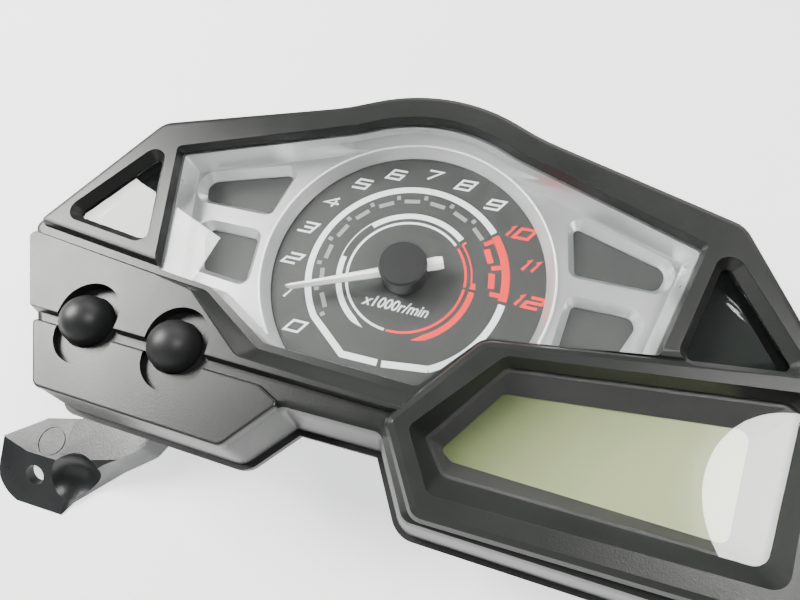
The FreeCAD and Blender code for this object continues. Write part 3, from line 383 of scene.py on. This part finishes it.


# Unlit reflective display: olive under a glossy polariser, with a painted sheen that makes it paler
# towards its lower right.
def displayMaterial():
    mat = bpy.data.materials.new("lcd_glass")
    mat.use_nodes = True
    tree = mat.node_tree
    shader = tree.nodes["Principled BSDF"]
    coordinates = tree.nodes.new("ShaderNodeTexCoord")
    low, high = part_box("lcd_glass")
    place = tree.nodes.new("ShaderNodeMapping")
    place.vector_type = "TEXTURE"
    place.inputs["Location"].default_value = (low.x, high.y, 0)
    place.inputs["Rotation"].default_value = (0, 0, math.radians(displayTone["sheenTurn"]))
    fade = displayTone["sheenLength"] * mm
    place.inputs["Scale"].default_value = (fade, fade, 1)
    tree.links.new(coordinates.outputs["Object"], place.inputs["Vector"])
    ramp = tree.nodes.new("ShaderNodeTexGradient")
    ramp.gradient_type = "EASING"
    tree.links.new(place.outputs["Vector"], ramp.inputs["Vector"])
    tint = tree.nodes.new("ShaderNodeMix")
    tint.data_type = "RGBA"
    tint.inputs["A"].default_value = (*displayTone["dark"], 1)
    tint.inputs["B"].default_value = (*displayTone["sheenPale"], 1)
    tree.links.new(ramp.outputs["Fac"], tint.inputs["Factor"])
    tree.links.new(tint.outputs["Result"], shader.inputs["Base Color"])
    grain = tree.nodes.new("ShaderNodeGroup")
    grain.node_tree = grainGroup
    spread = tree.nodes.new("ShaderNodeMapRange")
    spread.inputs["To Min"].default_value, spread.inputs["To Max"].default_value = displayTone["gloss"]
    tree.links.new(grain.outputs["Blotch"], spread.inputs["Value"])
    tree.links.new(spread.outputs["Result"], shader.inputs["Roughness"])
    return mat


sheet = {
    "colour": (0.80, 0.81, 0.80), "paler": (0.86, 0.87, 0.86), "gloss": (0.7, 0.85),
    "metallic": 0, "grain": 900, "depth": 0.6, "edgeSheen": 0,
    "glow": (0.97, 1.0, 0.985), "glowStrength": 1.5, "wide": 6, "level": -0.4,
}


# The white sheet that the part lies on, lit a little from within like a light table.
def sheetMaterial():
    mat = grainedMaterial("whiteSheet", sheet)
    shader = mat.node_tree.nodes["Principled BSDF"]
    shader.inputs["Emission Color"].default_value = (*sheet["glow"], 1)
    shader.inputs["Emission Strength"].default_value = sheet["glowStrength"]
    return mat


def addFloor():
    bpy.ops.mesh.primitive_plane_add(size=sheet["wide"], location=(0, 0, sheet["level"] * mm))
    floor = bpy.context.object
    floor.name = "floorSheet"
    floor.data.materials.append(sheetMaterial())


addCamera()
addLights()
addFloor()
print("camera, lights and floor set")

materials = {name: grainedMaterial(name, finish) for name, finish in finishes.items()}
materials["clear_lens"] = clearMaterial()
materials["pointer_white"] = pointerMaterial()
materials["lcd_glass"] = displayMaterial()
for node, slot in slotOf.items():
    mesh = nodes[node].data
    mesh.materials.clear()
    mesh.materials.append(materials[slot])
print("materials made", len(materials))

# pieces that take a CAD node's shape and soften its edges: edge width, segments and least angle of each
softened = {
    "front_cover": (0.45, 3, 24),
    "rear_case": (0.4, 2, 30),
    "left_stay": (0.5, 3, 30),
    "right_stay": (0.5, 3, 30),
    "connector_housing": (0.25, 2, 30),
    "case_gasket": (0.25, 2, 40),
    "lcd_holder": (0.15, 2, 30),
    "pointer": (0.12, 3, 20),
    "pointer_cap": (0.35, 4, 30),
    "left_turn_prism": (0.15, 3, 20),
    "right_turn_prism": (0.15, 3, 20),
    "case_screws": (0.12, 2, 35),
    "stay_screws": (0.12, 2, 35),
    "vent_cap": (0.3, 3, 40),
    "light_box": (0.2, 1, 40),
}


def deselectAll():
    if bpy.context.mode != "OBJECT":
        bpy.ops.object.mode_set(mode="OBJECT")
    bpy.ops.object.select_all(action="DESELECT")


def makeActive(piece):
    deselectAll()
    piece.select_set(True)
    bpy.context.view_layer.objects.active = piece


# Names a finished piece, lets it ride on its body and hides the CAD parts that it replaces.
def finishPiece(piece, name, body, slot, *replaced):
    piece.name = name
    piece.data.name = name
    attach(piece, body)
    if replaced:
        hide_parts(*replaced)
    return piece


skinMaking = {"mergeWithin": 0.004, "flatWithin": 0.6, "smoothUnder": 32}  # mm and degrees


# The node's own shape as one clean mesh with small rounded edges.
def softCopy(node, width, segments, angle):
    mesh = nodes[node].data.copy()
    piece = bpy.data.objects.new(node + "_skin", mesh)
    bpy.context.scene.collection.objects.link(piece)
    makeActive(piece)
    bpy.ops.object.mode_set(mode="EDIT")
    bpy.ops.mesh.select_all(action="SELECT")
    bpy.ops.mesh.remove_doubles(threshold=skinMaking["mergeWithin"] * mm)
    bpy.ops.mesh.dissolve_limited(angle_limit=math.radians(skinMaking["flatWithin"]))
    bpy.ops.object.mode_set(mode="OBJECT")
    edge = piece.modifiers.new("edges", "BEVEL")
    edge.width = width * mm
    edge.segments = segments
    edge.limit_method = "ANGLE"
    edge.angle_limit = math.radians(angle)
    edge.use_clamp_overlap = True
    bpy.ops.object.modifier_apply(modifier="edges")
    bpy.ops.object.shade_smooth_by_angle(angle=math.radians(skinMaking["smoothUnder"]))
    flats = piece.modifiers.new("flats", "WEIGHTED_NORMAL")
    flats.keep_sharp = True
    bpy.ops.object.modifier_apply(modifier="flats")
    return finishPiece(piece, node + "_skin", bodyOf[node], slotOf[node], node)


for node, values in softened.items():
    skin = softCopy(node, *values)
    print("softened", node, len(skin.data.polygons), "faces")

# print on the dial; angles are in degrees, counter-clockwise from +X
printPlan = {
    "level": 42.035,
    "thick": 0.05,
    "step": 3,  # degrees between the points of an arc
    "numberRadius": 32.6,
    "firstAngle": 220.0,
    "perNumber": 18.333,
    "digitWide": 3.9,
    "digitTall": 3.0,
    "narrowOne": 1.0,
    "digitGap": 1.5,
    "slant": 0.62,
    "stroke": 0.62,
    "boldStroke": 0.85,
    "boldShift": 1.2,
    "sharpestMitre": 0.45,
}
unitLabel = {
    "body": "x1000r/min", "centre": (-0.3, -9.2),
    "wide": 18.5, "tall": 3.2, "slant": 0.35, "swell": 0.02,
}

# radius, first angle, last angle and width of each arc; two widths make it taper
whiteArcs = [
    (27.1, 219, 41, 1.8), (27.1, -5, -62, 1.8),
    (18.5, 48.6, 136, 1.6), (19.2, 136, 174, 0.3), (18.5, 174, 236, 1.6), (18.5, 236, 247, (1.6, 0.1)),
    (16.3, 47, 265, 0.7),
]
redArcs = [
    (26.95, 39, -3, 2.2),
    (16.3, 267, 359, 0.7), (16.3, 1, 43, 0.7),
    (18.5, -2, -60, 1.6), (18.5, -60, -70, (1.6, 0.1)),
    (17.9, 6, 44, 0.45), (18.5, 0.5, 6, (1.7, 1.2)),
]
flatFoot = {"left": -10.4, "gap": 0.6, "level": -25.4}  # the ring's straight run at the bottom
ringEnds = {"radius": 27.1, "left": 219, "right": -62, "width": 1.8}
redFlag = {"inner": (17.8, 44), "outer": (19.2, 44.5), "width": 0.6}
redStub = {"outer": 26, "inner": 23.2, "width": 1.3}
dash = {"half": 2.2, "redRadius": 23.2, "redWidth": 1.7, "greyRadius": 23.3, "greyWidth": 1.2}
tick = {"inner": 24.1, "outer": 25.4, "width": 1.1}
firstRed, lastNumber = 10, 12

# centre lines of each digit in a cell of 1 by 1
digitLines = {
    "0": [[(0, 0), (1, 0), (1, 1), (0, 1), (0, 0)]],
    "1": [[(0.5, 0), (0.5, 1), (0, 0.85)]],
    "2": [[(0, 1), (1, 1), (1, 0.5), (0, 0.5), (0, 0), (1, 0)]],
    "3": [[(0, 1), (1, 1), (1, 0), (0, 0)], [(0.2, 0.5), (0.92, 0.5)]],
    "4": [[(0.75, 1), (0, 0.36), (1.1, 0.36)], [(0.75, 0.7), (0.75, 0)]],
    "5": [[(1, 1), (0, 1), (0, 0.52), (1, 0.52), (1, 0), (0, 0)]],
    "6": [[(1, 1), (0, 1), (0, 0), (1, 0), (1, 0.52), (0.08, 0.52)]],
    "7": [[(0, 1), (1, 1), (0.45, 0)]],
    "8": [[(0, 0), (1, 0), (1, 1), (0, 1), (0, 0)], [(0.08, 0.52), (0.92, 0.52)]],
    "9": [[(0.92, 0.48), (0, 0.48), (0, 1), (1, 1), (1, 0), (0, 0)]],
}


def onCircle(radius, angle):
    return (radius * math.cos(math.radians(angle)), radius * math.sin(math.radians(angle)))


def arcLine(radius, start, end):
    count = max(2, round(abs(end - start) / printPlan["step"]))
    return [onCircle(radius, start + (end - start) * k / count) for k in range(count + 1)]


# The mitred direction across a line at one of its points.
def acrossAt(points, index):
    closed = points[0] == points[-1]
    last = len(points) - 1
    before = points[index - 1] if index else (points[last - 1] if closed else None)
    after = points[index + 1] if index < last else (points[1] if closed else None)
    here = Vector(points[index])
    sides = []
    for first, second in ((before, here), (here, after)):
        if first is not None and second is not None:
            along = (Vector(second) - Vector(first)).normalized()
            sides.append(Vector((-along.y, along.x)))
    middle = sum(sides, Vector((0, 0))).normalized()
    return middle / max(printPlan["sharpestMitre"], middle.dot(sides[0]))


# A flat strip along a line; widths is one number, or one for each end.
def ribbon(points, widths):
    first, last = widths if isinstance(widths, tuple) else (widths, widths)
    count = len(points) - 1
    deselectAll()
    bpy.ops.mesh.primitive_grid_add(x_subdivisions=count, y_subdivisions=1, size=2)
    strip = bpy.context.object
    for vertex in strip.data.vertices:
        index = round((vertex.co.x + 1) / 2 * count)
        wide = first + (last - first) * index / count
        spot = Vector(points[index]) + acrossAt(points, index) * wide / 2 * (1 if vertex.co.y > 0 else -1)
        vertex.co = Vector((spot.x, spot.y, printPlan["level"])) * mm
    return strip


# The strips of a slanted number whose middle is at centre.
def digitStrips(text, centre, stroke):
    wide, tall, slant = printPlan["digitWide"], printPlan["digitTall"], printPlan["slant"]
    widths = [printPlan["narrowOne"] if digit == "1" else wide for digit in text]
    total = sum(widths) + printPlan["digitGap"] * (len(text) - 1)
    left = centre[0] - total / 2
    strips = []
    for digit, width in zip(text, widths):
        for line in digitLines[digit]:
            points = []
            for x, y in line:
                rise = (y - 0.5) * tall
                points.append((left + x * width + rise * slant, centre[1] + rise))
            strips.append(ribbon(points, stroke))
        left += width + printPlan["digitGap"]
    return strips


# One piece of print with a little thickness.
def joinPrint(name, strips, ink):
    deselectAll()
    for strip in strips:
        strip.select_set(True)
    bpy.context.view_layer.objects.active = strips[0]
    bpy.ops.object.join()
    piece = bpy.context.object
    piece.data.materials.clear()
    piece.data.materials.append(materials[ink])
    film = piece.modifiers.new("film", "SOLIDIFY")
    film.thickness = printPlan["thick"] * mm
    film.offset = -1
    bpy.ops.object.modifier_apply(modifier="film")
    bpy.ops.object.mode_set(mode="EDIT")
    bpy.ops.mesh.select_all(action="SELECT")
    bpy.ops.mesh.normals_make_consistent(inside=False)
    bpy.ops.object.mode_set(mode="OBJECT")
    return finishPiece(piece, name, "root", "dial_print")


# The angle of a number on the dial; halves lie between two numbers.
def numberAngle(number):
    return printPlan["firstAngle"] - printPlan["perNumber"] * number


def numberSpot(number):
    return onCircle(printPlan["numberRadius"], numberAngle(number))


# A straight dash square to the radius.
def dashStrip(radius, angle, width):
    middle = Vector(onCircle(radius, angle))
    along = Vector(onCircle(dash["half"], angle + 90))
    return ribbon([tuple(middle - along), tuple(middle + along)], width)


# The unit under the hub, as a mesh at its own place.
def unitText():
    deselectAll()
    bpy.ops.object.text_add(location=(0, 0, 0))
    label = bpy.context.object
    label.data.body = unitLabel["body"]
    label.data.align_x = "CENTER"
    label.data.align_y = "CENTER"
    label.data.shear = unitLabel["slant"]
    label.data.offset = unitLabel["swell"]
    label.data.resolution_u = 4
    bpy.ops.object.convert(target="MESH")
    label = bpy.context.object
    corners = [vertex.co for vertex in label.data.vertices]
    stretchX = unitLabel["wide"] / (max(c.x for c in corners) - min(c.x for c in corners))
    stretchY = unitLabel["tall"] / (max(c.y for c in corners) - min(c.y for c in corners))
    middleX, middleY = unitLabel["centre"]
    for vertex in label.data.vertices:
        x = middleX + vertex.co.x * stretchX
        y = middleY + vertex.co.y * stretchY
        vertex.co = Vector((x, y, printPlan["level"])) * mm
    return label


def arcStrips(arcs):
    return [ribbon(arcLine(radius, start, end), width) for radius, start, end, width in arcs]


def addWhitePrint():
    strips = arcStrips(whiteArcs)
    level, width = flatFoot["level"], ringEnds["width"]
    leftEnd = onCircle(ringEnds["radius"], ringEnds["left"])
    rightEnd = onCircle(ringEnds["radius"], ringEnds["right"])
    strips.append(ribbon([leftEnd, (flatFoot["left"], level), (-flatFoot["gap"], level)], width))
    strips.append(ribbon([(flatFoot["gap"], level), rightEnd], width))
    strips.append(unitText())
    for number in range(firstRed):
        strips += digitStrips(str(number), numberSpot(number), printPlan["stroke"])
    joinPrint("dialPrintWhite", strips, "inkWhite")


def addRedPrint():
    strips = arcStrips(redArcs)
    strips.append(ribbon([onCircle(*redFlag["inner"]), onCircle(*redFlag["outer"])], redFlag["width"]))
    for number in range(firstRed, lastNumber + 1):
        angle = numberAngle(number)
        stub = [onCircle(redStub["outer"], angle), onCircle(redStub["inner"], angle)]
        strips.append(ribbon(stub, redStub["width"]))
        x, y = numberSpot(number)
        strips += digitStrips(str(number), (x + printPlan["boldShift"], y), printPlan["boldStroke"])
    for number in range(firstRed, lastNumber):
        strips.append(dashStrip(dash["redRadius"], numberAngle(number + 0.5), dash["redWidth"]))
    joinPrint("dialPrintRed", strips, "inkRed")


def addGreyPrint():
    strips = []
    for number in range(firstRed):
        angle = numberAngle(number)
        tickEnds = [onCircle(tick["inner"], angle), onCircle(tick["outer"], angle)]
        strips.append(ribbon(tickEnds, tick["width"]))
        strips.append(dashStrip(dash["greyRadius"], numberAngle(number + 0.5), dash["greyWidth"]))
    joinPrint("dialPrintGrey", strips, "inkGrey")


addWhitePrint()
addRedPrint()
addGreyPrint()
print("dial print made")

# painted highlight: a bright, glossy thin ring along the crest of the dial's ring
ringHighlight = {
    "radius": 39.8, "wire": 0.36, "level": 45.35,
    "cutSpot": (-30.5, -26.0), "cutNormal": (-0.19, 0.98),  # below this line the cover hides the ring
    "roundSegments": 160, "wireSegments": 10, "smoothUnder": 40,
}


def addRingLine():
    deselectAll()
    bpy.ops.mesh.primitive_torus_add(
        major_radius=ringHighlight["radius"] * mm, minor_radius=ringHighlight["wire"] * mm,
        major_segments=ringHighlight["roundSegments"], minor_segments=ringHighlight["wireSegments"])
    ring = bpy.context.object
    for vertex in ring.data.vertices:
        vertex.co.z += ringHighlight["level"] * mm
    bpy.ops.object.mode_set(mode="EDIT")
    bpy.ops.mesh.select_all(action="SELECT")
    cutX, cutY = ringHighlight["cutSpot"]
    bpy.ops.mesh.bisect(plane_co=(cutX * mm, cutY * mm, 0), plane_no=(*ringHighlight["cutNormal"], 0),
                        use_fill=True, clear_inner=True)
    bpy.ops.object.mode_set(mode="OBJECT")
    bpy.ops.object.shade_smooth_by_angle(angle=math.radians(ringHighlight["smoothUnder"]))
    ring.data.materials.append(materials["paintedHighlightSilver"])
    finishPiece(ring, "bezelRingHighlight", "root", "silver_paint")


addRingLine()
print("ring line made")

bpy.context.view_layer.update()
